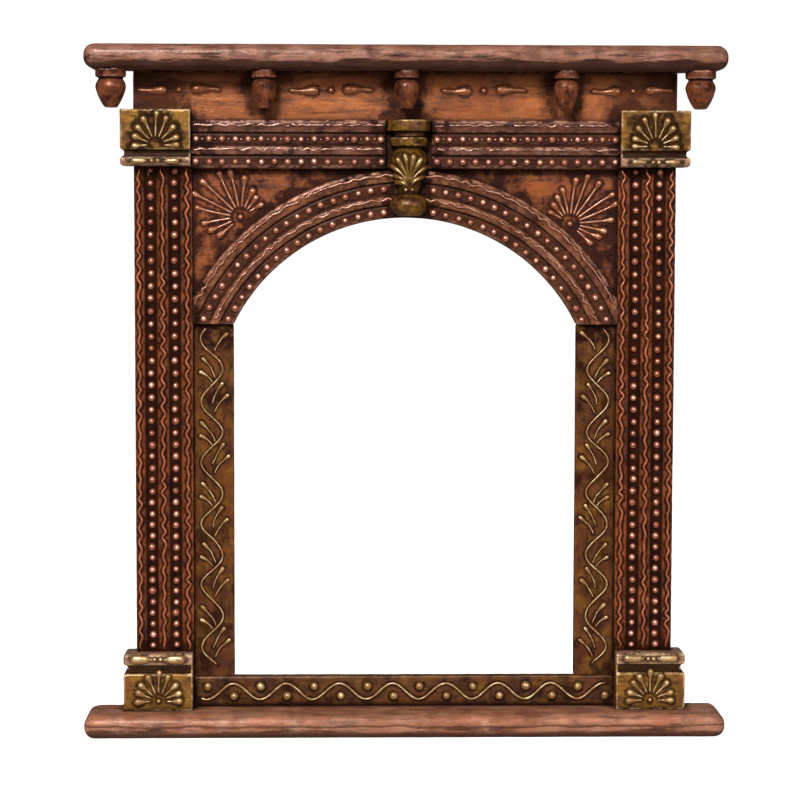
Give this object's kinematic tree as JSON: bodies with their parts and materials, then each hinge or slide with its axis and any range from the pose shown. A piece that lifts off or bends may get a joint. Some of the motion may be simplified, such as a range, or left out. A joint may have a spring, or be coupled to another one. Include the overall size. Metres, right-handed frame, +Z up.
{
  "type": "decorative arched wall frame",
  "caption": "Small painted wooden frame shaped like a mantel: fluted posts, capitals, plinths, shelf with hanging drops, beaded arch moulding and an arched opening.",
  "frame": {"origin": "middle of the overall box in plan, on the underside of the base board", "axes": "+Z up along the posts, front towards -Y, back face on +Y, +X to the right seen from the front"},
  "size_m": [0.427, 0.04, 0.458],
  "materials": {
    "copper_paint": "rubbed copper paint over dark stain, satin",
    "dark_copper_paint": "near-black glaze with rubbed copper ridges and raised paste beads, satin",
    "orange_copper_paint": "orange copper paint shaded dark at the edges, satin",
    "gold_paint": "old gold paint with dark glaze in the hollows, satin",
    "bare_dowel": "bare beech",
    "brass_plate": "dull stamped brass",
    "screw_steel": "zinc-plated steel"
  },
  "bodies": {
    "root": {"base_board": "copper_paint", "top_shelf": "copper_paint", "left_post": "dark_copper_paint", "right_post": "dark_copper_paint", "frieze_board": "orange_copper_paint", "bottom_rail": "gold_paint", "left_stile": "gold_paint", "right_stile": "gold_paint", "left_spandrel": "orange_copper_paint", "right_spandrel": "orange_copper_paint", "left_arch_moulding": "dark_copper_paint", "right_arch_moulding": "dark_copper_paint", "left_architrave": "dark_copper_paint", "right_architrave": "dark_copper_paint", "left_capital": "gold_paint", "right_capital": "gold_paint", "left_plinth": "gold_paint", "right_plinth": "gold_paint", "keystone_turning": "gold_paint", "left_outer_drop": "copper_paint", "left_inner_drop": "copper_paint", "middle_drop": "copper_paint", "right_inner_drop": "copper_paint", "right_outer_drop": "copper_paint", "base_dowels": "bare_dowel", "shelf_dowels": "bare_dowel", "frieze_dowels": "bare_dowel", "lining_dowels": "bare_dowel", "keystone_dowels": "bare_dowel", "left_hanger_plate": "brass_plate", "right_hanger_plate": "brass_plate", "hanger_screws": "screw_steel"}
  },
  "joints": []
}
